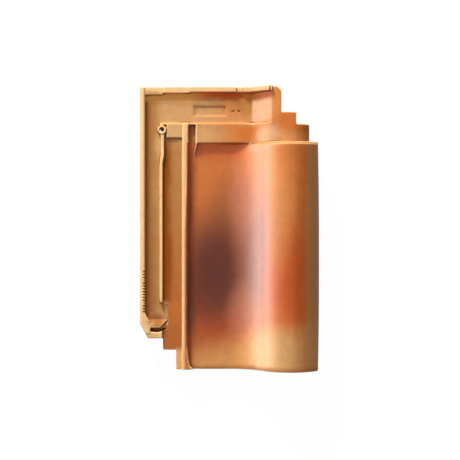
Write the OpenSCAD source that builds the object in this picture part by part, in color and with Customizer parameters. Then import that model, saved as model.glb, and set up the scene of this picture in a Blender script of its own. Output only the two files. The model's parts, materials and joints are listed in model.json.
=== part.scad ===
// Interlocking clay roof tile with a flat pan, a round roll, a side lock and a head lock.
// It lies face up: X runs across the tile, Y up the slope to the head, Z out of the face.

/* [Tile] */
// Overall width across the lock and the roll
tile_w = 282; // [274:1:300]
// Overall length from the foot to the head
tile_l = 445; // [420:1:480]
// Thickness of the clay in the pan and the roll
clay_t = 12; // [10:0.5:13]
// Depth of the foot nose below the pan
nose_h = 7; // [5:0.5:8]
// Width of the foot nose along the slope
nose_w = 9; // [6:0.5:14]
// Depth of the second nose, which hangs in the head channel of the tile below
second_nose_h = 3.5; // [2.5:0.5:4.5]
// Distance from the foot to the second nose
second_nose_v = 46; // [40:1:52]
// Clearance between a cover edge and what it laps over
lap_gap = 2; // [1:0.25:3]
// Amount that the right edge bows out between its ends
edge_bow = 2.4; // [1:0.2:4]

/* [Pan and roll] */
// Height of the roll's crest above the pan
roll_h = 43; // [40:0.5:46]
// Distance from the crest to the right edge
crest_inset = 46; // [44:0.5:48]
// Radius of the roll's dome
dome_r = 56; // [54:0.5:60]
// Radius of the shoulder between the dome and the right wall
shoulder_r = 26; // [25:0.5:29]
// Radius of the hollow sweep from the pan up to the roll
sweep_r = 70; // [60:1:80]
// Length of the slanted edge round the head end of the roll
roll_bevel = 4; // [3:0.5:6]

/* [Side lock] */
// Height of the lock's channel floor above the pan
lock_rise = 3.5; // [2.5:0.5:4.5]
// Thickness of the clay under the lock
lock_t = 11; // [9:0.5:13]
// Width of the outer rib at its top
outer_rib_w = 7.8; // [6.5:0.1:9]
// Height of the outer rib above the channel floor
outer_rib_h = 6.5; // [5.5:0.5:8]
// Distance from the left edge to the middle of the inner rib
inner_rib_u = 33.4; // [31:0.2:35]
// Width of the inner rib
inner_rib_w = 4.6; // [4:0.2:6]
// Height of the inner rib above the channel floor
inner_rib_h = 5.5; // [4.5:0.5:7]
// Distance from the left edge to the middle of the pan rib
pan_rib_u = 70.5; // [69:0.5:74]
// Width of the pan rib
pan_rib_w = 8.6; // [8:0.2:10]
// Height of the pan rib above the pan
pan_rib_h = 10; // [9:0.5:12]
// Number of drip notches in the outer rib
notch_count = 15; // [8:1:18]
// Spacing of the drip notches
notch_pitch = 4.5; // [4:0.1:5]
// Depth of the drain slot below the cross rib
drain_depth = 13; // [8:0.5:14]

/* [Head lock] */
// Length of the head that the next tile covers
head_lap = 88; // [84:1:96]
// Height of the head band above the pan
band_h = 8; // [7:0.5:9]
// Length of the head band along the slope
band_l = 33; // [30:1:36]
// Length of the slanted edge along the head band
band_bevel = 2.5; // [1.5:0.25:4]
// Height of the head rim above the channel floor
rim_h = 6.5; // [5:0.5:8]
// Width of the head rim along the slope
rim_w = 8; // [7:0.5:10]
// Height of the head roll's crest above the pan
head_roll_h = 28; // [26:0.5:30]

/* [Fixing] */
// Diameter of the nail hole
nail_d = 7; // [5:0.5:7.5]
// Diameter of the nail hole at its countersunk mouth
mouth_d = 9; // [8:0.25:10]
// Diameter of the boss around the nail hole
boss_d = 13.6; // [12:0.2:15]
// Distance from the left edge to the nail hole
nail_u = 34.6; // [33:0.1:36]
// Distance from the head edge to the nail hole
nail_from_head = 67; // [64:0.5:70]
// Distance from the head edge to the hooking face of the lugs
lug_from_head = 37; // [32:1:40]
// Width of each hanging lug
lug_w = 28; // [22:1:32]

/* [Hidden] */
$fn = 48;
arc_step = 5;
above = 90;
step_lip = 0.5;
edge_r = 2.5;

// Heights are measured from the face of the pan.
pan_z = nose_h + clay_t;
low_z = -pan_z - 1;
batten_z = lock_rise - lock_t;
outer_rib_z = lock_rise + outer_rib_h;
inner_rib_z = lock_rise + inner_rib_h;
boss_z = inner_rib_z + 1;
inner_floor_z = lock_rise + 0.8;
wall_end = inner_floor_z + lap_gap;
cross_rib_z = lock_rise + 6;
lip_z = cross_rib_z - 0.8;
rim_z = lock_rise + rim_h;
rim_roll_z = head_roll_h + 4;

// Places along the slope are measured from the foot.
lap_v = tile_l - head_lap;
roll_end_v = lap_v + step_lip;
band_v = lap_v + band_l;
rim_v = tile_l - rim_w;
nail_v = tile_l - nail_from_head;
lug_v = tile_l - lug_from_head;
lock_foot_v = 49.3;
step_foot_v = 30.8;
drain_v = lock_foot_v + 9.5;
cross_rib_v = drain_v + 7;
pool_v = cross_rib_v + 13;
rib_foot_v = pool_v + 26;
notch_v = 88;

// Places across the tile are measured from the left edge.
crest_u = tile_w - crest_inset;
head_u = tile_w - clay_t - lap_gap;
head_crest_u = crest_u - 19;
ramp_u = head_crest_u - 40;
ramp_top_u = head_crest_u - 10;
channel_u = outer_rib_w + 3.4;
pan_rib_left = pan_rib_u - pan_rib_w / 2;
pan_rib_right = pan_rib_u + pan_rib_w / 2;
pan_u = pan_rib_right + 5.5;
groove_u = pan_u + 8.2;
groove_foot_u = groove_u - 2.2;
foot_u = pan_rib_left - 9.2;
step_u = foot_u - 21;
platform_u = foot_u - 15;
pool_u = foot_u - 12.8;
drain_u = channel_u + 5;

// Radii of the head roll, which nests under the roll of the next tile and is flat along its crest.
nest_gap = 10;
round_run = 4;
head_sweep_r = 25;
head_dome_r = dome_r - clay_t - nest_gap;
head_shoulder_r = head_dome_r - 10;
head_flat = head_u - head_shoulder_r - round_run - head_crest_u;

function flip(points) = [for (i = [len(points) - 1:-1:0]) points[i]];

function arc(centre, r, a0, a1) =
    let (steps = max(2, ceil(abs(a1 - a0) / arc_step)))
    [for (i = [0:steps]) let (a = a0 + (a1 - a0) * i / steps) centre + r * [cos(a), sin(a)]];

// Leaves out each point that lies on the one before it.
function distinct(points) =
    [for (i = [0:len(points) - 1]) if (i == 0 || norm(points[i] - points[i - 1]) > 0.01) points[i]];

// Distance across from the start of a sweep to the crest of the dome that it rises to.
function reach(rise, sweep, dome) = sqrt(pow(sweep + dome, 2) - pow(sweep + dome - rise, 2));

// Line from a flat base up over a sweep to the crest of a dome.
function rise_line(base, top, sweep, dome) =
    let (
        run = reach(top.y - base, sweep, dome),
        lean = atan2(run, sweep + dome - top.y + base)
    )
    concat(
        arc([top.x - run, base + sweep], sweep, -90, lean - 90),
        arc([top.x, top.y - dome], dome, 90 + lean, 90)
    );

// Line from the crest of a dome over a shoulder to an upright right wall.
function fall_line(top, dome, shoulder, right) =
    let (
        run = right - shoulder - top.x,
        lift = sqrt(pow(dome - shoulder, 2) - pow(run, 2)),
        turn = atan2(lift, run)
    )
    concat(
        arc([top.x, top.y - dome], dome, 90, turn),
        arc([right - shoulder, top.y - dome + lift], shoulder, turn, 0)
    );

// Line of the pan and roll at a depth below their face.
function field_line(depth) = distinct(concat(
    rise_line(-depth, [crest_u, roll_h - depth], sweep_r + depth, dome_r - depth),
    fall_line([crest_u, roll_h - depth], dome_r - depth, shoulder_r - depth, tile_w - depth)
));

// Line of the head roll at a depth below its face, from the flat of its crest to its right wall.
function head_fall(depth) = fall_line(
    [head_crest_u + head_flat, head_roll_h - depth],
    head_dome_r - depth, head_shoulder_r - depth, head_u - depth
);

// Line of the head at a depth below its face, from a base of its own.
function head_line(base, depth) = distinct(concat(
    rise_line(base, [head_crest_u, head_roll_h - depth], head_sweep_r + depth, head_dome_r - depth),
    head_fall(depth)
));

// Underside of the head, from its right wall to its left end.
head_under = concat([[head_u - clay_t, low_z]], flip(head_line(batten_z, clay_t)));

// Outline of the pressing, stepped at the two corners where four tiles meet.
bow_steps = 12;
bow = [for (i = [0:bow_steps]) [tile_w - edge_bow * pow(2 * i / bow_steps - 1, 2), roll_end_v * i / bow_steps]];
first_step = [head_u - 22.8, lap_v + 28.5];
second_step = [head_u - 46, lap_v + 47];
head_corner = [head_u - 53.5, tile_l - 7.5];
outline = concat([[foot_u, 0]], bow, [
    [head_u, roll_end_v],
    [head_u, first_step.y],
    first_step,
    [first_step.x, second_step.y],
    second_step,
    [second_step.x, head_corner.y],
    [head_corner.x, tile_l],
    [0, tile_l],
    [0, lock_foot_v + 24],
    [drain_u - 4, lock_foot_v],
    [step_u, lock_foot_v],
    [step_u, step_foot_v],
    [foot_u, step_foot_v],
]);

// Stretches a section drawn in width and height along the slope.
module along(v0, v1) {
    translate([0, v1, 0]) rotate([90, 0, 0]) linear_extrude(v1 - v0) children();
}

// Stretches a section drawn in slope and height across the tile.
module across(u0, u1) {
    translate([u0, 0, 0]) rotate([90, 0, 90]) linear_extrude(u1 - u0) children();
}

// Raises a plan between two heights.
module raised(low, high) {
    translate([0, 0, low]) linear_extrude(high - low) children();
}

// Box between two corners.
module block(low, high) {
    translate(low) cube(high - low);
}

// Space over the slanted end of a piece whose top follows a line across the tile.
module end_bevel(line, v, length, drop) {
    slope = atan2(drop, length);
    top = above * cos(slope);
    translate([0, v - length, 0])
    rotate([90 - slope, 0, 0])
    translate([0, 0, -above])
    linear_extrude(2 * above)
    polygon(concat(
        [for (p = line) [p.x, p.y * cos(slope)]],
        [[line[len(line) - 1].x, top], [line[0].x, top]]
    ));
}

module lock_section() {
    polygon(distinct(concat(
        [[0, batten_z]],
        arc([edge_r, outer_rib_z - edge_r], edge_r, 180, 90),
        arc([outer_rib_w - edge_r, outer_rib_z - edge_r], edge_r, 90, 12),
        arc([channel_u, lock_rise + edge_r], edge_r, 192, 270),
        [
            [inner_rib_u, lock_rise],
            [inner_rib_u, inner_floor_z],
            [foot_u, inner_floor_z + 0.7],
            [pan_rib_left, inner_floor_z + 1.5],
            [pan_rib_u, inner_floor_z + 1.5],
            [pan_rib_u, batten_z],
        ]
    )));
}

module pan_rib_section() {
    bevel_r = 3.5;
    crown_r = 1.5;
    polygon(distinct(concat(
        [[pan_rib_left, batten_z]],
        arc([pan_rib_left + bevel_r, pan_rib_h - bevel_r], bevel_r, 180, 90),
        arc([pan_rib_right - crown_r, pan_rib_h - crown_r], crown_r, 90, 10),
        arc([pan_u, edge_r], edge_r, 190, 270),
        [
            [pan_u + 4, 0],
            [pan_u + 4, batten_z],
        ]
    )));
}

module field_section() {
    polygon(concat(
        [[pan_rib_u, 0]],
        field_line(0),
        [[tile_w, low_z], [tile_w - clay_t, low_z]],
        flip(field_line(clay_t)),
        [
            [pan_u, -clay_t],
            [pan_rib_u, batten_z],
        ]
    ));
}

module band_section() {
    polygon(concat(
        [
            [pan_rib_u, batten_z],
            [pan_rib_u, 0],
            [groove_foot_u, 0],
            [groove_u, band_h],
        ],
        head_line(band_h, 0),
        [[head_u, low_z]],
        head_under
    ));
}

// Water channel across the head, open to the side lock and shut off by a ramp up to the roll.
module channel_section() {
    polygon(concat(
        [
            [outer_rib_w / 2, batten_z],
            [outer_rib_w / 2, lock_rise],
            [ramp_u, lock_rise],
            [ramp_top_u, head_roll_h - 0.7],
            [head_crest_u, head_roll_h],
        ],
        head_fall(0),
        [[head_u, low_z]],
        head_under
    ));
}

// Nose under the foot that follows the pan and the roll.
module nose_section(depth) {
    polygon(concat(
        [[pan_u, -clay_t / 2]],
        field_line(clay_t / 2),
        [[tile_w - clay_t / 2, low_z], [tile_w - clay_t - depth, low_z]],
        flip(field_line(clay_t + depth)),
        [[pan_u, -clay_t - depth]]
    ));
}

// Wall that closes the step between the roll and the lower head roll.
module step_section() {
    polygon(concat(
        field_line(clay_t / 2),
        [[tile_w - clay_t / 2, low_z]],
        head_under
    ));
}

// Pan and roll with their noses, from the foot to the head lap.
module field() {
    band_meet_u = crest_u - reach(roll_h, sweep_r, dome_r) + sqrt(pow(sweep_r, 2) - pow(sweep_r - band_h, 2));
    difference() {
        union() {
            along(0, roll_end_v) field_section();
            along(roll_end_v - clay_t, roll_end_v) step_section();
            along(0, nose_w) nose_section(nose_h);
            along(second_nose_v, second_nose_v + nose_w - 1) nose_section(second_nose_h);
        }
        end_bevel([for (p = field_line(0)) if (p.x > band_meet_u) p], roll_end_v, roll_bevel, roll_bevel);
        block([crest_u, -1, low_z - 1], [tile_w + 1, roll_end_v + 1, wall_end]);
    }
}

// Raised band across the head with the platform and sill beside the nail boss.
module band() {
    sill_l = 4;
    platform_l = 24.5;
    rib_widening = 1.7;
    bevel_sink = 1.2;
    edge_line = concat(
        [
            [0, band_h],
            [pan_rib_left, band_h],
            [pan_rib_left + edge_r, pan_rib_h],
            [pan_rib_right + rib_widening, pan_rib_h],
            [pan_rib_right + rib_widening + 1, band_h],
        ],
        [for (p = head_line(band_h, 0)) if (p.x < ramp_top_u) p]
    );
    difference() {
        union() {
            along(lap_v, band_v) band_section();
            along(lap_v, band_v) pan_rib_section();
            block([pan_rib_u, lap_v, batten_z], [pan_rib_right + rib_widening, band_v, pan_rib_h]);
            block([pan_rib_u, band_v - sill_l, batten_z], [groove_u + 1, band_v, band_h]);
            block([platform_u, band_v - platform_l, batten_z], [pan_rib_u, band_v, band_h]);
            block([nail_u - 3, band_v - sill_l, batten_z], [platform_u + 1, band_v, band_h]);
        }
        end_bevel(edge_line, band_v, band_bevel, band_h - lock_rise + bevel_sink);
    }
}

// Spur that runs out from the left end of the head band into the pan.
module band_spur() {
    spur_l = 18;
    tip_h = 2.5;
    tip = [groove_u - 3.6, lap_v - spur_l];
    intersection() {
        raised(-1, band_h) polygon([
            tip,
            tip + [0.8, 0],
            [groove_u + 2.2, lap_v],
            [groove_u + 2.2, roll_end_v],
            [groove_u - 0.3, roll_end_v],
        ]);
        across(0, tile_w) polygon([
            [tip.y, -1],
            [tip.y, tip_h],
            [lap_v, band_h],
            [roll_end_v, band_h],
            [roll_end_v, -1],
        ]);
    }
}

// Rim along the head edge, in steps from the lock and up a ramp onto the roll.
module rim() {
    root_z = lock_rise - 3;
    first_u = step_u;
    second_u = pan_u - 3;
    notch_u = ramp_u - 25;
    end_u = ramp_top_u + 1;
    difference() {
        union() {
            along(rim_v, tile_l) polygon([
                [outer_rib_w / 2, root_z],
                [outer_rib_w / 2, rim_z - 2],
                [first_u, rim_z - 2],
                [first_u + 1, rim_z - 1],
                [second_u, rim_z - 1],
                [second_u + 1, rim_z],
                [ramp_u - 4, rim_z],
                [ramp_top_u - 4, rim_roll_z],
                [end_u, rim_roll_z],
                [end_u, head_roll_h - 4],
                [ramp_top_u, head_roll_h - 4],
                [ramp_u, root_z],
            ]);
            block([outer_rib_w / 2, rim_v - 4, root_z], [first_u, rim_v + 1, rim_z - 2]);
            block([first_u + 0.5, rim_v - 1, root_z], [second_u, rim_v + 1, rim_z - 1]);
        }
        block([notch_u, rim_v - 1, rim_z - 2], [notch_u + 11, tile_l + 1, above]);
        block([end_u - 5, rim_v - 1, rim_roll_z - 2.5], [end_u - 2.5, tile_l + 1, above]);
    }
}

// Inner rib of the side lock, wider towards the nail boss.
module inner_rib() {
    half = inner_rib_w / 2;
    wide = half + 0.3;
    upper_u = nail_u + 0.8;
    raised(batten_z, inner_rib_z) polygon([
        [inner_rib_u - half, rib_foot_v + 2],
        [inner_rib_u + half, rib_foot_v],
        [inner_rib_u + half, nail_v - 54],
        [upper_u + wide, nail_v - 40],
        [upper_u + wide, nail_v],
        [upper_u - wide, nail_v],
        [upper_u - wide, nail_v - 40],
        [inner_rib_u - half, nail_v - 54],
    ]);
}

// Low floor of the lock between the inner rib and the cross rib.
module pool() {
    raised(lock_rise, inner_rib_z) polygon([
        [inner_rib_u - 1, cross_rib_v],
        [pool_u, cross_rib_v + 8],
        [pool_u, rib_foot_v - 4],
        [inner_rib_u - 1, rib_foot_v + 2],
    ]);
}

// Closed lower end of the side lock, with its cross rib and lip.
module lock_end() {
    intersection() {
        raised(batten_z, cross_rib_z) polygon([
            [0, cross_rib_v - 1],
            [drain_u + 15, cross_rib_v - 1],
            [pool_u, pool_v + 1],
            [0, pool_v + 1],
        ]);
        across(0, tile_w) polygon([
            [cross_rib_v - 1, batten_z],
            [cross_rib_v - 1, cross_rib_z],
            [cross_rib_v + 6, cross_rib_z],
            [pool_v, lock_rise],
            [pool_v, batten_z],
        ]);
    }
    raised(batten_z, cross_rib_z) polygon([
        [0, drain_v - 1.5],
        [drain_u, drain_v - 1.5],
        [drain_u, pool_v - 3],
        [channel_u, notch_v - 6],
        [outer_rib_w, notch_v + 2],
        [0, notch_v + 2],
    ]);
    block([0, lock_foot_v, batten_z], [step_u - 0.8, cross_rib_v, lip_z]);
}

module drain_slot() {
    raised(cross_rib_z - drain_depth, above) polygon([
        [drain_u, drain_v + 0.6],
        [drain_u + 11.5, drain_v],
        [drain_u + 20, drain_v + 2],
        [drain_u + 26, drain_v + 5.6],
        [drain_u + 20.5, cross_rib_v],
        [drain_u, cross_rib_v],
    ]);
}

module drip_notches() {
    notch_w = 2;
    notch_u = outer_rib_w - 3.2;
    for (i = [0:notch_count - 1])
        translate([0, notch_v + 2 + i * notch_pitch, 0])
        block([notch_u, 0, lock_rise + 2.5], [channel_u, notch_w, above]);
}

// Flare of the pan rib where it meets the foot.
module rib_flare() {
    raised(batten_z, pan_rib_h - 0.5) polygon([
        [pan_rib_u, 0],
        [pan_u + 4.5, 0],
        [pan_u + 2, 2.5],
        [pan_rib_right + 4, 6],
        [pan_rib_right + 2.2, 14],
        [pan_rib_right + 0.8, 24],
        [pan_rib_right - 1, 36],
        [pan_rib_u, 36],
    ]);
}

// Two lugs that hook over the batten, with an upright face towards the foot.
module lugs() {
    lug_l = 11;
    draft = 4;
    lug_places = [pan_u + 14, head_crest_u - 37];
    intersection() {
        for (u = lug_places) across(u, u + lug_w) polygon([
            [lug_v, -pan_z],
            [lug_v + lug_l, -pan_z],
            [lug_v + lug_l + draft, batten_z],
            [lug_v + lug_l + draft, head_roll_h],
            [lug_v, head_roll_h],
        ]);
        along(lap_v, tile_l) polygon(concat(
            [[0, -pan_z], [0, batten_z + clay_t / 2]],
            head_line(batten_z + clay_t / 2, clay_t / 2),
            [[head_u - clay_t / 2, -pan_z]]
        ));
    }
}

// Head of the tile, from the head lap to the head edge.
module head() {
    difference() {
        union() {
            band();
            along(band_v - band_bevel - 1, tile_l - 1) channel_section();
        }
        block([head_crest_u + head_flat, lap_v - 1, low_z - 1], [tile_w, tile_l + 1, outer_rib_z]);
    }
    rim();
    lugs();
}

module pressing() {
    difference() {
        union() {
            difference() {
                union() {
                    along(0, tile_l) lock_section();
                    along(0, lap_v) pan_rib_section();
                }
                pool();
                block([channel_u + 1, band_v - 2, lock_rise], [pan_rib_u + 1, rim_v + 1, above]);
            }
            field();
            head();
            band_spur();
            rib_flare();
            inner_rib();
            lock_end();
        }
        drip_notches();
        drain_slot();
    }
}

module roof_tile() {
    mouth_h = (mouth_d - nail_d) / 2 + 0.5;
    color("peru")
    translate([-tile_w / 2, -tile_l / 2, pan_z])
    difference() {
        union() {
            intersection() {
                pressing();
                raised(-pan_z, above) polygon(outline);
            }
            translate([nail_u, nail_v, batten_z]) cylinder(d = boss_d, h = boss_z - batten_z);
        }
        translate([nail_u, nail_v, -pan_z]) cylinder(d = nail_d, h = above);
        translate([nail_u, nail_v, boss_z - mouth_h]) cylinder(d1 = nail_d, d2 = mouth_d, h = mouth_h);
    }
}

roof_tile();
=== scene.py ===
"""Clay roof tile: the pressed and fired look of the tile around its CAD solid, and a studio to see it in."""

import functools
import json
import math

import bmesh
import bpy
import numpy as np
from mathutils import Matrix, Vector


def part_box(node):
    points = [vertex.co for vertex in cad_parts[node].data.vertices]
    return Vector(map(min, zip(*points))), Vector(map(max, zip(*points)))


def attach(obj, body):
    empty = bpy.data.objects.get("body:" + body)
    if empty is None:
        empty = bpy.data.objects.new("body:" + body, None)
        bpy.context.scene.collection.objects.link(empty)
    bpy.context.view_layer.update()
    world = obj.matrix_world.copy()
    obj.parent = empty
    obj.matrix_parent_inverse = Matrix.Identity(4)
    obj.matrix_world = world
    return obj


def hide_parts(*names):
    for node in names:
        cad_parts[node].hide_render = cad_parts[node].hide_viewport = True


bl_info = {
    "name": "Clay Roof Tile",
    "version": (1, 0, 0),
    "blender": (4, 5, 0),
    "location": "View3D > Sidebar > Roof Tile",
    "description": "Builds a pressed clay roof tile with a kiln-flashed engobe, and a studio for it",
    "category": "Object",
}

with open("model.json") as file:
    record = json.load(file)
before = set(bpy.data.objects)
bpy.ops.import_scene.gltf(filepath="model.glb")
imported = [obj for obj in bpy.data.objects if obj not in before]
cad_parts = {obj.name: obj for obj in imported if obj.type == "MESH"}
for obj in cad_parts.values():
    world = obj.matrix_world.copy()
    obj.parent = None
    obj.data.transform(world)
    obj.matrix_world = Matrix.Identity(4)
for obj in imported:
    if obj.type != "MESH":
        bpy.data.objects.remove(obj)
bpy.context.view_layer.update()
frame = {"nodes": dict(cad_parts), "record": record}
TILE_NODE = "roof_tile"
TILE_LOW, TILE_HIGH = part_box(TILE_NODE)
NAIL_PLACE = next(mount["pos_m"] for mount in frame["record"]["mounts"] if mount["name"] == "nail_hole")
FORM_LAYER = "edge_form"
MM = 0.001
WHITE = (1, 1, 1, 1)

# Kiln flashes and painted sheen, the lowest one first: shade, middle and reach in millimetres, strength
ENGOBE_FLASHES = (
    ("russet", (-30, -100), (95, 140), 0.95),
    ("red", (-14, -160), (85, 42), 0.55),
    ("smoke_and_shade", (3, 30), (50, 90), 0.32),
    ("smoke_and_shade", (-18, -62), (88, 134), 0.94),
    ("rust", (42, -40), (50, 180), 0.9),
    ("red", (101, -80), (58, 135), 0.9),
    # The next three rows are painted sheen beside the highlight on the roll's flank
    ("straw_and_sheen", (77, 30), (26, 140), 0.45),
    ("rose_sheen", (18, 50), (30, 110), 0.4),
    ("rose_sheen", (20, -135), (35, 70), 0.4),
)
BAND_FLASHES = (
    ("tan", (-50, 146), (60, 20), 0.7),
    ("bright", (-90, 149), (30, 30), 0.15),
    ("tan", (100, 140), (75, 18), 0.55),
    # Next row: painted highlight on the left end of the roll's lip
    ("blush_and_highlight", (38, 130), (16, 13), 0.5),
    ("dun_and_shade", (113, 150), (30, 22), 0.2),
)
LOCK_FLASHES = (
    ("dun_and_shade", (-104, -125), (15, 18), 0.5),
    ("orange", (-86, -132), (14, 30), 0.4),
    ("bright", (-113, 130), (11, 30), 0.3),
)


def size_prop(name, description, default):
    """Length in metres that a user may change."""
    return bpy.props.FloatProperty(
        name=name, description=description, default=default, unit="LENGTH", precision=4
    )


def place_prop(name, description, default):
    """Point, or lengths along the axes, in the tile's own frame."""
    return bpy.props.FloatVectorProperty(
        name=name, description=description, default=default, subtype="TRANSLATION", size=len(default)
    )


def number_prop(name, description, default):
    """Plain number from 0 up that a user may change."""
    return bpy.props.FloatProperty(name=name, description=description, default=default, min=0)


def share_prop(name, description, default):
    """Share from 0 to 1 that a user may change."""
    return bpy.props.FloatProperty(
        name=name, description=description, default=default, min=0, max=1, subtype="FACTOR"
    )


def colour_prop(name, description, red, green, blue):
    """Colour that a user may change, given by its everyday 0 to 255 levels."""
    levels = [level / 255 for level in (red, green, blue)]
    linear = [c / 12.92 if c <= 0.04045 else ((c + 0.055) / 1.055) ** 2.4 for c in levels]
    return bpy.props.FloatVectorProperty(
        name=name, description=description, default=linear, subtype="COLOR", size=3, min=0, max=1
    )


class PressedTileSettings(bpy.types.PropertyGroup):
    """Sizes of the soft edges and of the marks that the press leaves in the clay."""

    grid: size_prop("Clay grid", "Spacing of the grid that the clay is rounded on", 0.8 * MM)
    rounding: bpy.props.IntProperty(
        name="Rounding", description="Smoothing passes that round the pressed edges", default=5, min=0
    )
    triangles: bpy.props.IntProperty(
        name="Triangles",
        description="Most triangles that the finished tile may have",
        default=190000,
        min=1000,
    )
    edge_radius: size_prop("Edge radius", "Radius of an edge that counts as fully rounded", 4.0 * MM)
    plate_centre: place_prop(
        "Plate centre", "Middle of the bare plate in the head channel", (-0.031, 0.185)
    )
    plate_size: place_prop("Plate size", "Length and width of the bare plate", (0.0515, 0.016))
    plate_depth: size_prop("Plate depth", "Depth of the bare plate below the channel floor", 1.0 * MM)
    dot_centres: place_prop("Dots", "Places of the two dots across the tile", (0.0065, 0.0152))
    dot_radius: size_prop("Dot radius", "Radius of each dot beside the plate", 1.9 * MM)
    dot_depth: size_prop("Dot depth", "Depth of each dot", 1.7 * MM)
    ripple_centre: place_prop(
        "Ripple centre", "Middle of the press ripples in the lock's floor", (-0.1195, -0.1355)
    )
    ripple_pitch: size_prop("Ripple pitch", "Spacing of the press ripples", 3.4 * MM)
    ripple_height: size_prop("Ripple height", "Height of the press ripples", 0.35 * MM)


class ClayColourSettings(bpy.types.PropertyGroup):
    """Colours of the fired clay, of the flashes that the kiln leaves in the engobe, and of the painted shade,
    light and highlights.
    """

    ochre: colour_prop("Ochre clay", "Bare clay in the locks", 211, 158, 104)
    orange: colour_prop("Orange engobe", "Engobe on the pan and the roll", 213, 118, 50)
    # Pale flash along the foot and on the roll, and painted sheen right of the roll flank's highlight
    straw_and_sheen: colour_prop("Straw flash", "Pale flash along the foot and on the roll", 226, 154, 84)
    # Dark flash on the pan, and also the dark middle of the painted shade beside the pan rib
    smoke_and_shade: colour_prop("Smoke flash", "Dark flash in the middle of the pan", 103, 49, 35)
    russet: colour_prop("Russet flash", "Red-brown flash below the smoke", 152, 62, 26)
    red: colour_prop("Red flash", "Red flash on the pan, on the roll and under the rim", 200, 80, 14)
    tan: colour_prop("Tan flash", "Pale flash on the band and at the head of the roll", 220, 166, 108)
    # Red tint in the shade of the rim and the band, bright enough to lift that shade: part tint, part painted
    # light
    ember_and_light: colour_prop("Ember flash", "Red tint in the shade of the rim and the band", 248, 118, 50)
    # Painted sheen: pale pink beside the highlight on the roll's flank
    rose_sheen: colour_prop("Rose flash", "Pink flash between the pan and the roll", 216, 134, 104)
    rust: colour_prop("Rust flash", "Dull flash up the side of the roll", 134, 74, 54)
    # Pale flash at the roll's foot, spread to the right as painted highlight
    cream_and_highlight: colour_prop("Cream flash", "Pale flash at the foot of the roll", 214, 162, 102)
    # Pale pink clay on the head ramp, and painted highlight on the head of the roll
    blush_and_highlight: colour_prop("Blush flash", "Pale pink flash at the end of the head channel", 228, 178, 142)
    # Dull clay, and on the right wall also painted shade where the wall turns from the lamp
    dun_and_shade: colour_prop("Dun flash", "Dull flash down the right wall", 172, 116, 52)
    # Darker clay tone of the channel floors that is partly painted shade, and painted shade on slopes that
    # face the head
    loam_and_shade: colour_prop("Loam floor", "Darker floor of the outer channel", 176, 122, 62)
    # Red of the painted shade beside the pan rib
    madder_shade: colour_prop("Madder shade", "Red clay on the shaded side of the pan rib", 178, 66, 12)
    # Painted light: warm clay that lifts the shade under the head rim
    amber_light: colour_prop("Amber strip", "Warm clay in the shade of the head rim", 255, 180, 94)
    # Warm clay at the inner channel's lower end, and part of the painted shade beside the inner rib
    sienna_and_shade: colour_prop("Sienna floor", "Warm lower end of the inner channel", 176, 86, 22)
    # Brown clay tone, mostly painted shade beside the lock's ribs, along the shoulder and along the foot rim
    umber_and_shade: colour_prop("Umber clay", "Brown clay in the channels and along worn edges", 140, 68, 24)
    # Pale clay, and painted highlight on convex edges and along the spur
    bright: colour_prop("Bright edge", "Rubbed clay on the pressed edges", 250, 206, 148)
    # Painted shade for the creases and for faces that look down the slope
    crease_shade: colour_prop("Dark crease", "Clay down in the creases", 142, 74, 34)


class ClayFinishSettings(bpy.types.PropertyGroup):
    """Gloss and grain of the fired clay."""

    bare_roughness: share_prop("Bare roughness", "Roughness of the bare clay", 0.72)
    bare_specular: share_prop("Bare specular", "Specular level of the clay under the coat", 0.12)
    satin_roughness: share_prop("Satin roughness", "Roughness of the satin engobe", 0.44)
    satin_ior: number_prop("Satin index", "Index of refraction of the satin coat", 1.69)
    drift: size_prop("Flash drift", "Range of the slow noise that shifts the flashes", 18 * MM)
    grain_contrast: share_prop("Grain contrast", "How much the grain speckles the colour", 0.3)
    grain_strength: share_prop("Grain strength", "How much the grain bumps the surface", 0.12)
    grain_depth: size_prop("Grain depth", "Depth of the grain", 0.4 * MM)


class StudioSettings(bpy.types.PropertyGroup):
    """Sizes of the studio, its lamp and its camera."""

    floor_size: size_prop("Floor size", "Side of the pale floor", 8.0)
    floor_grey: share_prop("Floor grey", "Level of the floor's own paint, which takes the shadow", 0.4)
    floor_glow: number_prop("Floor glow", "Brightness of the floor to the camera", 1.11)
    glow_share: share_prop("Glow share", "Share of the glow in what the camera sees of the floor", 0.87)
    hole_shade_shift: size_prop("Hole shade shift", "Shift of the floor's dark spot from the hole", 9.5 * MM)
    hole_shade_radius: size_prop("Hole shade radius", "Radius of the floor's dark spot", 15 * MM)
    camera_height: size_prop("Camera height", "Height of the camera above the floor", 1.519)
    camera_offset: place_prop(
        "Camera offset", "Place of the camera across and along the tile", (0.001, -0.0025)
    )
    focal_ratio: number_prop("Focal ratio", "Focal length over the width of the picture", 947 / 460)
    key_direction: bpy.props.FloatVectorProperty(
        name="Key direction",
        description="Way from the tile to the lamp",
        default=(-1.0, 3.0, 1.0),
        subtype="DIRECTION",
    )
    key_distance: size_prop("Key distance", "Distance of the lamp from the tile", 3.5)
    key_size: place_prop("Key size", "Width and height of the lamp", (0.5, 0.9))
    key_watts: bpy.props.FloatProperty(
        name="Key lamp", description="Power of the lamp at the upper left", default=205.0, unit="POWER"
    )
    gleam: number_prop("Gleam", "Brightness of the pale wall on the left that shows in reflections", 13.5)
    sky_level: number_prop("Sky level", "Even light from all round", 0.44)
    mirrored_sky: share_prop("Mirrored sky", "Share of the even light that shows in reflections", 0.15)


def join(tree, socket, value):
    """Sets an input to a value, or links it to another node's output."""
    if isinstance(value, bpy.types.NodeSocket):
        tree.links.new(value, socket)
    else:
        socket.default_value = value


def add_node(tree, kind, inputs=None, **settings):
    """Adds a node with its settings and its inputs."""
    node = tree.nodes.new(kind)
    for name, value in settings.items():
        setattr(node, name, value)
    for key, value in (inputs or {}).items():
        join(tree, node.inputs[key], value)
    return node


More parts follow.
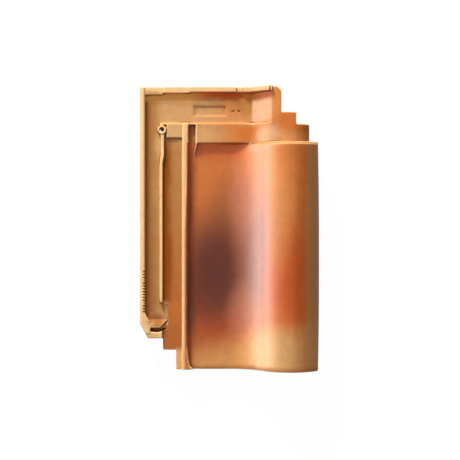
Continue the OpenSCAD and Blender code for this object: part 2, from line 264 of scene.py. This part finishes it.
def add_math(tree, operation, *values):
    """Adds a math node and gives its output."""
    return add_node(tree, "ShaderNodeMath", dict(enumerate(values)), operation=operation).outputs[0]


def add_vector(tree, operation, inputs):
    """Adds a vector math node and gives its outputs."""
    return add_node(tree, "ShaderNodeVectorMath", inputs, operation=operation).outputs


def add_range(tree, value, low, high):
    """Turns a mask into a number that goes from low at 0 to high at 1."""
    node = add_node(tree, "ShaderNodeMapRange", {"Value": value, "To Min": low, "To Max": high})
    return node.outputs["Result"]


def add_ramp(tree, value, start, end):
    """Mask that grows smoothly from 0 at the start to 1 at the end."""
    node = add_node(
        tree,
        "ShaderNodeMapRange",
        {"Value": value, "From Min": start, "From Max": end},
        interpolation_type="SMOOTHSTEP",
    )
    return node.outputs["Result"]


def add_mix(tree, mask, under, over, blend="MIX"):
    """Lays one colour over another through a mask."""
    node = add_node(tree, "ShaderNodeMix", data_type="RGBA", blend_type=blend)
    for socket, value in ((node.inputs[0], mask), (node.inputs[6], under), (node.inputs[7], over)):
        join(tree, socket, value)
    return node.outputs[2]


def add_noise(tree, place, scale, detail):
    """Adds soft noise and gives its outputs."""
    return add_node(tree, "ShaderNodeTexNoise", {"Vector": place, "Scale": scale, "Detail": detail}).outputs


def new_group(name, inputs, outputs):
    """Empty shader group with named sockets."""
    tree = bpy.data.node_groups.new(name, "ShaderNodeTree")
    for label, kind, default in inputs:
        socket = tree.interface.new_socket(label, in_out="INPUT", socket_type=kind)
        if default is not None:
            socket.default_value = default
    for label, kind in outputs:
        tree.interface.new_socket(label, in_out="OUTPUT", socket_type=kind)
    return tree, tree.nodes.new("NodeGroupInput").outputs, tree.nodes.new("NodeGroupOutput").inputs


def place_group(tree, group, **inputs):
    """Places a shader group in a tree and gives its outputs."""
    node = add_node(tree, "ShaderNodeGroup", node_tree=group)
    for label, value in inputs.items():
        join(tree, node.inputs[label], value)
    return node.outputs


def build_flash_group():
    """Mask of one kiln flash: an oval patch that fades out towards its edge."""
    tree, given, out = new_group(
        "kiln_flash",
        [
            ("Place", "NodeSocketVector", None),
            ("Centre", "NodeSocketVector", None),
            ("Reach", "NodeSocketVector", None),
            ("Strength", "NodeSocketFloat", 1.0),
        ],
        [("Mask", "NodeSocketFloat")],
    )
    away = add_vector(tree, "SUBTRACT", {0: given["Place"], 1: given["Centre"]})
    share = add_vector(tree, "DIVIDE", {0: away[0], 1: given["Reach"]})
    span = add_vector(tree, "LENGTH", {0: share[0]})
    core = 0.15
    fade = add_ramp(tree, span["Value"], 1.0, core)
    join(tree, out["Mask"], add_math(tree, "MULTIPLY", fade, given["Strength"]))
    return tree


def build_drift_group():
    """Place on the tile, shifted by slow noise so that flashes have ragged edges."""
    tree, given, out = new_group(
        "kiln_drift",
        [("Place", "NodeSocketVector", None), ("Amount", "NodeSocketFloat", 0.02)],
        [("Place", "NodeSocketVector")],
    )
    noise = add_noise(tree, given["Place"], scale=14.0, detail=3.0)
    centred = add_vector(tree, "SUBTRACT", {0: noise["Color"], 1: (0.5, 0.5, 0.5)})
    shift = add_vector(tree, "SCALE", {0: centred[0], "Scale": given["Amount"]})
    moved = add_vector(tree, "ADD", {0: given["Place"], 1: shift[0]})
    flat = add_vector(tree, "MULTIPLY", {0: moved[0], 1: (1, 1, 0)})
    join(tree, out["Place"], flat[0])
    return tree


def build_grain_group():
    """Fine grain of fired clay: a speckle around 1 for the colour, and a height for the bump."""
    tree, given, out = new_group(
        "clay_grain",
        [("Place", "NodeSocketVector", None), ("Contrast", "NodeSocketFloat", 0.1)],
        [("Speckle", "NodeSocketFloat"), ("Height", "NodeSocketFloat")],
    )
    cloud = add_noise(tree, given["Place"], scale=90.0, detail=4.0)["Fac"]
    sand = add_noise(tree, given["Place"], scale=700.0, detail=2.0)["Fac"]
    cloud_height = 0.6
    centred = add_math(tree, "SUBTRACT", add_math(tree, "ADD", cloud, sand), 1.0)
    join(tree, out["Speckle"], add_math(tree, "MULTIPLY_ADD", centred, given["Contrast"], 1.0))
    join(tree, out["Height"], add_math(tree, "MULTIPLY_ADD", cloud, cloud_height, sand))
    return tree


class ClayPaint:
    """Colour of the clay as it is laid on, and the places on the tile that its masks are made from."""

    def __init__(self, tree, colours, drift):
        self.tree = tree
        self.shades = {name: (*getattr(colours, name), 1.0) for name in ClayColourSettings.__annotations__}
        self.flash_group = build_flash_group()
        self.place = add_node(tree, "ShaderNodeTexCoord").outputs["Object"]
        self.drifted = place_group(tree, build_drift_group(), Place=self.place, Amount=drift)["Place"]
        self.across, self.along, _ = add_node(tree, "ShaderNodeSeparateXYZ", {0: self.drifted}).outputs
        self.aside, _, self.level = add_node(tree, "ShaderNodeSeparateXYZ", {0: self.place}).outputs
        facing = add_node(tree, "ShaderNodeNewGeometry").outputs["Normal"]
        _, self.lean, self.upward = add_node(tree, "ShaderNodeSeparateXYZ", {0: facing}).outputs
        self.form = add_node(tree, "ShaderNodeAttribute", attribute_name=FORM_LAYER).outputs["Fac"]
        self.colour = self.shades["ochre"]
        self.mark_areas()

    def mark_areas(self):
        """Makes the masks of the areas that more than one step paints by."""
        self.over_pan = self.edge(self.across, -85, -62)
        self.past_rib = self.edge(self.across, -67, -58)
        self.on_roll = self.edge(self.across, 35, 70)
        self.below_channel = self.edge(self.along, 172, 158)
        self.engobe = self.either(self.both(self.over_pan, self.below_channel), self.on_roll)
        self.to_foot = self.edge(self.along, 150, -200)
        self.low = self.edge(self.level, 27.2, 24.5)
        self.foot_rim = self.both(self.edge(self.along, -211, -222.5), self.past_rib)
        self.shoulder = self.both(self.strip(self.across, 94, 108, 114, 126), self.below_channel)
        self.head_facing = self.ramp(self.lean, 0.25, 0.6)
        self.underside = self.ramp(self.upward, -0.05, -0.3)

    def ramp(self, value, start, end):
        """Mask that grows from 0 at one value to 1 at another."""
        return add_ramp(self.tree, value, start, end)

    def edge(self, axis, start, end):
        """Mask that grows from 0 at one place to 1 at another, in millimetres along an axis."""
        return add_ramp(self.tree, axis, start * MM, end * MM)

    def strip(self, axis, start, full, fade, end):
        """Mask of a strip that grows at its start and fades at its end, in millimetres along an axis."""
        return self.both(self.edge(axis, start, full), self.edge(axis, end, fade))

    def slant(self, value, slope, start):
        """Value times a slope, added to a start, for an edge that runs askew."""
        return add_math(self.tree, "MULTIPLY_ADD", value, slope, start)

    def both(self, *masks):
        """Mask where all the given masks meet."""
        return functools.reduce(functools.partial(add_math, self.tree, "MULTIPLY"), masks)

    def either(self, one, two):
        """Mask where at least one of two masks lies."""
        return add_math(self.tree, "MAXIMUM", one, two)

    def outside(self, mask):
        """Mask of all that another mask leaves."""
        return add_math(self.tree, "SUBTRACT", 1.0, mask)

    def flash(self, middle, reach, strength):
        """Mask of one kiln flash, with its middle and its reach in millimetres."""
        centre = (*(length * MM for length in middle), 0)
        span = (*(length * MM for length in reach), 1)
        outputs = place_group(
            self.tree, self.flash_group, Place=self.drifted, Centre=centre, Reach=span, Strength=strength
        )
        return outputs["Mask"]

    def blend(self, share, one, two):
        """Colour between two shades."""
        return add_mix(self.tree, share, self.shades[one], self.shades[two])

    def lay(self, mask, shade, share=1.0):
        """Lays a named shade, or a blend, over the colour so far."""
        over = self.shades[shade] if isinstance(shade, str) else shade
        shown = mask if share == 1.0 else self.both(mask, share)
        self.colour = add_mix(self.tree, shown, self.colour, over)


def paint_locks(paint):
    """Engobe over the pan and the roll, bare clay on the band, darker floors in the lock's channels that are
    partly painted shade, and painted shade beside the lock's ribs.
    """
    across, along = paint.across, paint.along
    band = paint.both(paint.edge(along, 130, 140), paint.edge(across, 30, -50))
    outer_floor = paint.both(paint.low, paint.edge(across, -100, -126))
    outer_shade = paint.both(paint.low, paint.edge(paint.aside, -121, -130))
    past_lock_rib = paint.edge(along, -114, -120)
    lock_end = paint.both(past_lock_rib, paint.edge(along, -157, -150))
    lock_edge = paint.slant(lock_end, -10 * MM, across)
    lock = paint.both(paint.edge(lock_edge, -109, -106), paint.edge(across, -66, -72))
    inner_floor = paint.both(paint.low, lock, paint.edge(along, 155, 138))
    beside_rib = paint.both(
        paint.edge(across, -86, -100), paint.edge(along, 155, 140), paint.outside(past_lock_rib)
    )
    paint.lay(paint.engobe, "orange")
    paint.lay(band, "ochre", 0.75)
    # Darker tones on the channel floors, partly painted shade from the channel walls
    paint.lay(outer_floor, paint.blend(paint.both(paint.to_foot, 0.35), "loam_and_shade", "umber_and_shade"))
    paint.lay(inner_floor, paint.blend(paint.to_foot, "loam_and_shade", "sienna_and_shade"), 0.8)
    # Painted shade of the inner rib on the inner channel's floor
    paint.lay(paint.both(inner_floor, beside_rib), paint.blend(0.7, "sienna_and_shade", "umber_and_shade"))
    # Painted shade of the outer rib on the outer channel's floor
    paint.lay(outer_shade, "umber_and_shade", 0.6)


def paint_engobe(paint):
    """Kiln flashes over the pan and the roll, and painted sheen beside the flank's highlight."""
    for shade, middle, reach, strength in ENGOBE_FLASHES:
        paint.lay(paint.both(paint.flash(middle, reach, strength), paint.past_rib), shade)


def paint_head(paint):
    """Flashes in the head channel and on the band, painted highlights on the head of the roll, and a red tint
    and painted light that lift the shade of the rim and the band.
    """
    across, along, aside = paint.across, paint.along, paint.aside
    head_ramp = paint.both(
        paint.edge(aside, 33, 38), paint.edge(across, 74, 60), paint.edge(along, 160, 172)
    )
    below_rim = paint.strip(along, 202, 212, 217, 219)
    rim_middle = paint.strip(across, -105, -60, 60, 70)
    rim_left = paint.both(
        paint.strip(along, 195, 206, 217, 219), paint.edge(across, -30, -65), paint.low
    )
    rim_right = paint.both(below_rim, paint.edge(aside, 12, 30), paint.edge(across, 60, 50))
    below_band = paint.both(
        paint.strip(along, 107, 121, 134, 138), paint.past_rib, paint.edge(across, 35, 10)
    )
    paint.lay(paint.flash((12, 195), (60, 45), 0.6), "orange")
    paint.lay(head_ramp, "blush_and_highlight", 0.8)
    paint.lay(paint.flash((74, 195), (20, 45), 0.5), "straw_and_sheen")
    # Painted highlight on the flank at the head of the roll
    paint.lay(paint.flash((61, 144), (32, 26), 0.75), "blush_and_highlight")
    # Red tint in the rim's shade, bright enough to lift it: part tint, part painted light
    paint.lay(paint.both(below_rim, rim_middle), "ember_and_light", 0.85)
    paint.lay(paint.both(paint.flash((12, 210), (70, 60), 0.7), below_rim), "red")
    # Painted light that lifts the shade under the head rim
    paint.lay(paint.either(rim_left, paint.both(rim_right, 0.45)), "amber_light")
    # Red tint in the band's cast shadow on the pan, bright enough to lift it: part tint, part painted light
    paint.lay(below_band, "ember_and_light", 0.85)
    for shade, middle, reach, strength in BAND_FLASHES:
        paint.lay(paint.flash(middle, reach, strength), shade)
    paint.lay(paint.both(paint.flash((26, 196), (28, 24), 0.5), paint.edge(aside, 38, 34)), "dun_and_shade")


def paint_foot(paint):
    """Pale flash along the foot, spread as painted highlight at the roll's foot, dull clay down the right
    wall that is partly painted shade, and painted shade along the shoulder.
    """
    foot_edge = paint.slant(paint.across, 0.25, -190 * MM)
    foot = paint.edge(add_math(paint.tree, "SUBTRACT", paint.along, foot_edge), 35, -22)
    right_wall = paint.edge(paint.across, 106, 128)
    paint.lay(paint.both(foot, paint.past_rib), "straw_and_sheen")
    # Pale flash at the roll's foot, spread to the right as painted highlight
    paint.lay(paint.flash((74, -190), (66, 55), 0.8), "cream_and_highlight")
    # Dull clay on the right wall, darkened further as painted shade where it turns from the lamp
    paint.lay(right_wall, "dun_and_shade", 0.7)
    # Painted shade along the roll's right shoulder, which turns from the lamp
    paint.lay(paint.shoulder, "umber_and_shade", 0.35)


def rib_shade_tone(paint):
    """Tone of the painted shade beside the pan rib: red at its ends, and dark in the middle where the smoke
    flash lies.
    """
    mid_rib = paint.both(paint.to_foot, paint.edge(paint.along, -190, -130))
    return paint.blend(mid_rib, "madder_shade", "smoke_and_shade")


def paint_beside_rib(paint):
    """Painted shade in the pan beside its rib, light clay at the foot of the lock, and painted shade along
    the rounded rim of the foot.
    """
    along, aside = paint.along, paint.aside
    rib_shade = paint.both(
        paint.edge(aside, -46, -62), paint.past_rib, paint.strip(along, -205, -150, 100, 122)
    )
    foot_strip = paint.both(paint.edge(along, -182, -198), paint.strip(aside, -87.5, -82, -72, -68))
    # Painted shade cast by the pan rib on the pan
    paint.lay(rib_shade, rib_shade_tone(paint), 0.75)
    paint.lay(foot_strip, paint.blend(0.4, "straw_and_sheen", "bright"), 0.85)
    # Painted shade along the rounded rim of the foot
    paint.lay(paint.foot_rim, "umber_and_shade", 0.7)


def paint_groove(paint):
    """Groove in the band beside the pan rib, and the tongue of clay between it and the spur."""
    along, aside = paint.along, paint.aside
    groove = paint.both(
        paint.low, paint.strip(aside, -69, -66, -56, -53), paint.strip(along, 130, 140, 162, 168)
    )
    tongue_edge = paint.slant(along, 0.13, aside)
    tongue = paint.both(
        paint.edge(tongue_edge, -44.5, -40.5),
        paint.edge(aside, -53.5, -55.5),
        paint.strip(along, 112, 118, 162, 168),
    )
    paint.lay(groove, "orange", 0.4)
    paint.lay(tongue, "dun_and_shade", 0.4)


def paint_rib_tops(paint):
    """Light tops of the ribs and of the head rim, and painted shade on the pan rib's side away from the lamp.
    """
    along, aside, level = paint.along, paint.aside, paint.level
    rib_top = paint.both(paint.edge(level, 26.8, 28.4), paint.edge(aside, -62, -68))
    rim_top = paint.both(
        paint.edge(level, 25.5, 26.8),
        paint.edge(along, 213, 216),
        paint.edge(paint.across, 75, 65),
        paint.ramp(paint.upward, 0.7, 0.9),
    )
    lock_ribs = paint.either(paint.edge(aside, -129, -132), paint.strip(aside, -112.5, -110, -102.5, -100))
    rib_line = paint.slant(paint.edge(along, 100, -20), 4 * MM, aside)
    rib_side_shade = paint.both(
        paint.edge(rib_line, -67.6, -64.3), paint.edge(aside, -58, -64), paint.below_channel
    )
    paint.lay(paint.either(rib_top, rim_top), "bright", 0.75)
    paint.lay(paint.both(paint.edge(level, 26.5, 28), lock_ribs), "bright", 0.7)
    # Painted shade on the pan rib's side away from the lamp
    paint.lay(rib_side_shade, rib_shade_tone(paint), 0.85)


def paint_spur(paint):
    """Painted highlight along the spur's edge, and the warm top of the flare at the pan rib's foot."""
    along, aside = paint.along, paint.aside
    spur_line = paint.slant(along, -0.186, aside)
    spur_tip = paint.both(
        paint.strip(spur_line, -78.7, -78, -76.8, -75.8), paint.strip(along, 113, 119, 135, 139)
    )
    spur_edge = paint.both(
        paint.strip(aside, -54.5, -53.5, -51.5, -50.2), paint.strip(along, 135, 139, 163, 166)
    )
    flare = paint.both(
        paint.edge(paint.level, 26.8, 28),
        paint.edge(along, -183, -192),
        paint.edge(aside, -56, -59),
        paint.over_pan,
    )
    # Painted highlight along the spur's ridge and tip
    paint.lay(paint.either(spur_tip, spur_edge), "bright", 0.6)
    paint.lay(flare, paint.blend(0.6, "orange", "straw_and_sheen"), 0.8)


def paint_edges(paint):
    """Painted highlight on convex edges, painted shade in creases and on faces that look up or down the
    slope, the lock's ends, the underside.
    """
    along = paint.along
    lock_bevel = paint.both(
        paint.ramp(paint.lean, 0.15, 0.35), paint.edge(along, -137, -142), paint.edge(paint.aside, -90, -95)
    )
    lip = paint.both(paint.head_facing, paint.on_roll, paint.edge(along, 145, 138))
    # Painted shade on slopes that face the head, which the lamp lights strongly
    paint.lay(paint.head_facing, "loam_and_shade", 0.55)
    paint.lay(lock_bevel, "bright", 0.4)
    paint.lay(lip, paint.blend(0.3, "loam_and_shade", "tan"), 0.8)
    # Painted highlight: convex edges made paler, standing in for the light they catch
    paint.lay(paint.ramp(paint.form, 0.15, 0.9), "bright", 0.55)
    # Painted shade on faces that look down the slope, away from the lamp
    paint.lay(paint.ramp(paint.lean, -0.25, -0.6), "crease_shade", 0.3)
    paint.lay(paint.flash((-114, -146), (23, 14), 0.9), paint.blend(0.65, "loam_and_shade", "umber_and_shade"))
    for shade, middle, reach, strength in LOCK_FLASHES:
        paint.lay(paint.flash(middle, reach, strength), shade)
    # Painted shade in concave creases
    paint.lay(paint.ramp(paint.form, -0.1, -0.8), "crease_shade", 0.75)
    paint.lay(paint.underside, "ochre")


def satin_mask(paint):
    """Satin coat of the engobe: full on the pan and the roll, thin at the head, and dull on the shoulder and
    the foot rim.
    """
    shoulder_and_foot = paint.both(paint.either(paint.shoulder, paint.foot_rim), 0.85)
    head_share = 0.32
    coated = paint.either(paint.edge(paint.along, 138, 124), head_share)
    return paint.both(paint.engobe, coated, paint.outside(paint.either(paint.underside, shoulder_and_foot)))


def build_clay_material(colours, finish):
    """Fired clay: bare ochre in the locks, satin engobe with kiln flashes on the pan and the roll, and
    painted shade, light and highlights.
    """
    material = bpy.data.materials.new("flashed_clay")
    material.use_nodes = True
    tree = material.node_tree
    paint = ClayPaint(tree, colours, finish.drift)
    for step in (
        paint_locks,
        paint_engobe,
        paint_head,
        paint_foot,
        paint_beside_rib,
        paint_groove,
        paint_rib_tops,
        paint_spur,
        paint_edges,
    ):
        step(paint)
    grain = place_group(tree, build_grain_group(), Place=paint.place, Contrast=finish.grain_contrast)
    bump = add_node(
        tree,
        "ShaderNodeBump",
        {"Height": grain["Height"], "Strength": finish.grain_strength, "Distance": finish.grain_depth},
    )
    satin = satin_mask(paint)
    shader = tree.nodes["Principled BSDF"]
    for socket, value in (
        ("Base Color", add_mix(tree, 1.0, paint.colour, grain["Speckle"], "MULTIPLY")),
        ("Roughness", add_range(tree, satin, finish.bare_roughness, finish.satin_roughness)),
        ("Specular IOR Level", finish.bare_specular),
        ("Coat Weight", satin),
        ("Coat Roughness", finish.satin_roughness),
        ("Coat IOR", finish.satin_ior),
        ("Normal", bump.outputs["Normal"]),
    ):
        join(tree, shader.inputs[socket], value)
    return material


def finished_mesh(piece):
    """Mesh of a piece with its modifiers worked in."""
    graph = bpy.context.evaluated_depsgraph_get()
    return bpy.data.meshes.new_from_object(piece.evaluated_get(graph))


def swap_mesh(piece, mesh):
    """Gives a piece a new mesh and takes its modifiers off."""
    piece.modifiers.clear()
    old = piece.data
    piece.data = mesh
    bpy.data.meshes.remove(old)


def soft_box(points, centre, size, edge):
    """1 inside a rectangle seen from above, fading to 0 over its edge."""
    reach = np.abs(points[:, :2] - np.array(centre)) - np.array(size) / 2
    inside = np.clip(-reach / edge, 0, 1)
    return np.prod(inside * inside * (3 - 2 * inside), axis=1)


def press_marks(points, normals, sizes):
    """Sinks the bare plate and its dots into the head channel, and raises ripples in the lock's floor."""
    # 1 on level clay, and 0 where it is steeper than about 41 degrees
    top = np.clip(normals[:, 2] * 4 - 3, 0, 1)
    plate_edge = 0.9 * MM
    sink = sizes.plate_depth * soft_box(points, sizes.plate_centre, sizes.plate_size, plate_edge)
    for across in sizes.dot_centres:
        away = np.hypot(points[:, 0] - across, points[:, 1] - sizes.plate_centre[1])
        sink += sizes.dot_depth * np.clip(1 - (away / sizes.dot_radius) ** 2, 0, 1)
    ripple_size = (16 * MM, 12 * MM)
    ripple_edge = 3 * MM
    ripple_slant = 0.35
    waves = np.sin((points[:, 1] + points[:, 0] * ripple_slant) * 2 * math.pi / sizes.ripple_pitch)
    patch = soft_box(points, sizes.ripple_centre, ripple_size, ripple_edge)
    rise = sizes.ripple_height * waves * patch
    points[:, 2] += top * (rise - sink)


def mark_edges(mesh, radius):
    """Stores how far each point stands out on an edge, up to 1, or lies in a crease, down to -1."""
    count = len(mesh.vertices)
    points = np.empty(count * 3)
    normals = np.empty(count * 3)
    ends = np.empty(len(mesh.edges) * 2, np.int32)
    mesh.vertices.foreach_get("co", points)
    mesh.vertices.foreach_get("normal", normals)
    mesh.edges.foreach_get("vertices", ends)
    points, normals, ends = points.reshape(-1, 3), normals.reshape(-1, 3), ends.reshape(-1, 2)
    one, two = np.concatenate([ends, ends[:, ::-1]]).T
    share = np.maximum(np.bincount(one, minlength=count), 1)
    step = points[one] - points[two]
    shortest_square = 1e-12
    span = np.maximum(np.einsum("ij,ij->i", step, step), shortest_square)
    bend = 2 * np.einsum("ij,ij->i", step, normals[one]) / span
    form = np.bincount(one, bend, minlength=count) / share
    smoothing_passes = 3
    for _ in range(smoothing_passes):
        form = (form + np.bincount(one, form[two], minlength=count) / share) / 2
    layer = mesh.attributes.new(FORM_LAYER, "FLOAT", "POINT")
    layer.data.foreach_set("value", np.clip(form * radius, -1, 1).astype(np.float32))


def welded_copy(node, name):
    """Copy of a CAD node's mesh, with its doubled points welded."""
    mesh = frame["nodes"][node].data.copy()
    mesh.name = name
    mesh.materials.clear()
    welded = bmesh.new()
    welded.from_mesh(mesh)
    weld_gap = 0.001 * MM
    bmesh.ops.remove_doubles(welded, verts=welded.verts, dist=weld_gap)
    welded.to_mesh(mesh)
    welded.free()
    return mesh


def round_edges(tile, sizes):
    """Lays the clay on an even grid and rounds its edges."""
    grid = tile.modifiers.new("clay_grid", "REMESH")
    grid.mode = "VOXEL"
    grid.voxel_size = sizes.grid
    soft = tile.modifiers.new("soft_edges", "SMOOTH")
    soft.factor = 0.5
    soft.iterations = sizes.rounding
    swap_mesh(tile, finished_mesh(tile))


def stamp_tile(tile, sizes):
    """Presses the marks into the tile's mesh."""
    count = len(tile.data.vertices)
    points = np.empty(count * 3, np.float32)
    normals = np.empty(count * 3, np.float32)
    tile.data.vertices.foreach_get("co", points)
    tile.data.vertices.foreach_get("normal", normals)
    points = points.reshape(-1, 3)
    press_marks(points, normals.reshape(-1, 3), sizes)
    tile.data.vertices.foreach_set("co", points.ravel())
    tile.data.update()


def thin_out(tile, triangles):
    """Brings the tile down to a number of triangles."""
    tile.data.calc_loop_triangles()
    thin = tile.modifiers.new("fewer_triangles", "DECIMATE")
    thin.ratio = min(1.0, triangles / len(tile.data.loop_triangles))
    swap_mesh(tile, finished_mesh(tile))


class ROOFTILE_OT_press_tile(bpy.types.Operator):
    """Press the tile: round the CAD solid's edges like clay, add the press marks and the fired finish"""

    bl_idname = "rooftile.press_tile"
    bl_label = "Press Tile"

    def execute(self, context):
        settings = context.scene.roof_tile
        sizes = settings.tile
        tile = bpy.data.objects.new("pressed_tile", welded_copy(TILE_NODE, "pressed_tile"))
        context.scene.collection.objects.link(tile)
        round_edges(tile, sizes)
        stamp_tile(tile, sizes)
        thin_out(tile, sizes.triangles)
        tile.data.shade_smooth()
        mark_edges(tile.data, sizes.edge_radius)
        if not tile.data.polygons:
            raise RuntimeError("the pressed tile came out empty")

        tile.data.materials.append(build_clay_material(settings.clay, settings.finish))
        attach(tile, "root")
        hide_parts(TILE_NODE)
        return {"FINISHED"}


def build_floor_material(studio):
    """Floor, white to the camera but for a spot at the nail hole, and pale on the left in reflections."""
    material = bpy.data.materials.new("white_floor")
    material.use_nodes = True
    tree = material.node_tree
    tree.nodes.clear()
    rays = add_node(tree, "ShaderNodeLightPath").outputs
    place = add_node(tree, "ShaderNodeTexCoord").outputs["Object"]
    across, along, _ = add_node(tree, "ShaderNodeSeparateXYZ", {0: place}).outputs

    spot = (NAIL_PLACE[0] + studio.hole_shade_shift, NAIL_PLACE[1] + studio.hole_shade_shift, 0)
    away = add_vector(tree, "DISTANCE", {0: place, 1: spot})["Value"]
    lit = add_math(tree, "GREATER_THAN", away, studio.hole_shade_radius)
    seen = add_math(tree, "MULTIPLY", rays["Is Camera Ray"], lit)
    card_slope, card_start = 2.0, -0.25
    wedge = add_math(tree, "MULTIPLY_ADD", add_math(tree, "ABSOLUTE", along), card_slope, across)
    card = add_math(tree, "MULTIPLY", rays["Is Glossy Ray"], add_math(tree, "LESS_THAN", wedge, card_start))

    share = add_math(tree, "MULTIPLY", add_math(tree, "MAXIMUM", seen, card), studio.glow_share)
    strength = add_math(tree, "MULTIPLY_ADD", card, studio.gleam, studio.floor_glow)
    paint = add_node(tree, "ShaderNodeBsdfDiffuse", {"Color": (*[studio.floor_grey] * 3, 1)}).outputs[0]
    glow = add_node(tree, "ShaderNodeEmission", {"Color": WHITE, "Strength": strength}).outputs[0]
    top = add_node(tree, "ShaderNodeMixShader", {0: share, 1: paint, 2: glow}).outputs[0]
    # Seen from below, the floor is clear
    below = add_node(tree, "ShaderNodeNewGeometry").outputs["Backfacing"]
    clear = add_node(tree, "ShaderNodeBsdfTransparent").outputs[0]
    sides = add_node(tree, "ShaderNodeMixShader", {0: below, 1: top, 2: clear}).outputs[0]
    add_node(tree, "ShaderNodeOutputMaterial", {"Surface": sides})
    return material


def build_sky(studio):
    """Even light from all round, white to the camera, with a pale wall on the left in reflections."""
    world = bpy.data.worlds.new("studio_sky")
    world.use_nodes = True
    tree = world.node_tree
    rays = add_node(tree, "ShaderNodeLightPath").outputs
    toward = add_node(tree, "ShaderNodeTexCoord").outputs["Generated"]
    across, along, up = add_node(tree, "ShaderNodeSeparateXYZ", {0: toward}).outputs

    wall_top, wall_fade = 0.94, 1.5
    wall_ends, wall_left = (0.65, 0.2), (-0.2, -0.7)
    low = add_node(tree, "ShaderNodeMapRange", {"Value": up, "From Min": wall_top, "From Max": 0.0})
    wall = add_math(tree, "POWER", low.outputs["Result"], wall_fade)
    for side in (
        add_ramp(tree, add_math(tree, "ABSOLUTE", along), *wall_ends),
        add_ramp(tree, across, *wall_left),
    ):
        wall = add_math(tree, "MULTIPLY", wall, side)
    mirrored = add_math(tree, "MULTIPLY_ADD", wall, studio.gleam, studio.mirrored_sky * studio.sky_level)
    strength = add_range(tree, rays["Is Camera Ray"], studio.sky_level, 1.0)
    strength = add_range(tree, rays["Is Glossy Ray"], strength, mirrored)
    background = tree.nodes["Background"]
    join(tree, background.inputs["Color"], WHITE)
    join(tree, background.inputs["Strength"], strength)
    return world


def hang_key_lamp(studio):
    """Rectangular lamp that faces the middle of the tile and stays out of reflections."""
    lamp = bpy.data.lights.new("key_lamp", "AREA")
    lamp.shape = "RECTANGLE"
    lamp.size, lamp.size_y = studio.key_size
    lamp.energy = studio.key_watts
    toward = Vector(studio.key_direction).normalized()
    holder = bpy.data.objects.new("key_lamp", lamp)
    holder.location = (TILE_LOW + TILE_HIGH) / 2 + toward * studio.key_distance
    holder.rotation_euler = toward.to_track_quat("Z", "Y").to_euler()
    holder.visible_glossy = False
    bpy.context.scene.collection.objects.link(holder)


class ROOFTILE_OT_set_stage(bpy.types.Operator):
    """Set the stage: a white floor, a soft lamp and a camera straight above the tile"""

    bl_idname = "rooftile.set_stage"
    bl_label = "Set Stage"

    def execute(self, context):
        studio = context.scene.roof_tile.studio
        half = studio.floor_size / 2
        mesh = bpy.data.meshes.new("studio_floor")
        corners = [(-half, -half, 0), (half, -half, 0), (half, half, 0), (-half, half, 0)]
        mesh.from_pydata(corners, [], [(0, 1, 2, 3)])
        mesh.materials.append(build_floor_material(studio))
        floor = bpy.data.objects.new("studio_floor", mesh)
        context.scene.collection.objects.link(floor)

        hang_key_lamp(studio)
        context.scene.world = build_sky(studio)

        lens = bpy.data.cameras.new("photo_camera")
        lens.lens = lens.sensor_width * studio.focal_ratio
        camera = bpy.data.objects.new("photo_camera", lens)
        camera.location = (*studio.camera_offset, studio.camera_height)
        context.scene.collection.objects.link(camera)
        context.scene.camera = camera
        context.scene.view_settings.view_transform = "Standard"
        return {"FINISHED"}


class RoofTileSettings(bpy.types.PropertyGroup):
    """All settings of the tile and its studio."""

    tile: bpy.props.PointerProperty(type=PressedTileSettings)
    clay: bpy.props.PointerProperty(type=ClayColourSettings)
    finish: bpy.props.PointerProperty(type=ClayFinishSettings)
    studio: bpy.props.PointerProperty(type=StudioSettings)


class ROOFTILE_PT_sidebar(bpy.types.Panel):
    """Settings and builders of the clay roof tile"""

    bl_label = "Clay Roof Tile"
    bl_idname = "ROOFTILE_PT_sidebar"
    bl_space_type = "VIEW_3D"
    bl_region_type = "UI"
    bl_category = "Roof Tile"

    def draw(self, context):
        settings = context.scene.roof_tile
        for group, operator in (
            (settings.tile, ROOFTILE_OT_press_tile),
            (settings.clay, None),
            (settings.finish, None),
            (settings.studio, ROOFTILE_OT_set_stage),
        ):
            box = self.layout.box()
            for name in type(group).__annotations__:
                box.prop(group, name)
            if operator:
                box.operator(operator.bl_idname)


CLASSES = (
    PressedTileSettings,
    ClayColourSettings,
    ClayFinishSettings,
    StudioSettings,
    RoofTileSettings,
    ROOFTILE_OT_press_tile,
    ROOFTILE_OT_set_stage,
    ROOFTILE_PT_sidebar,
)


def register():
    for cls in CLASSES:
        bpy.utils.register_class(cls)
    bpy.types.Scene.roof_tile = bpy.props.PointerProperty(type=RoofTileSettings)


def unregister():
    del bpy.types.Scene.roof_tile
    for cls in reversed(CLASSES):
        bpy.utils.unregister_class(cls)


def main():
    """Builds the tile and its stage."""
    register()
    bpy.ops.rooftile.press_tile()
    bpy.ops.rooftile.set_stage()


if __name__ == "__main__":
    main()
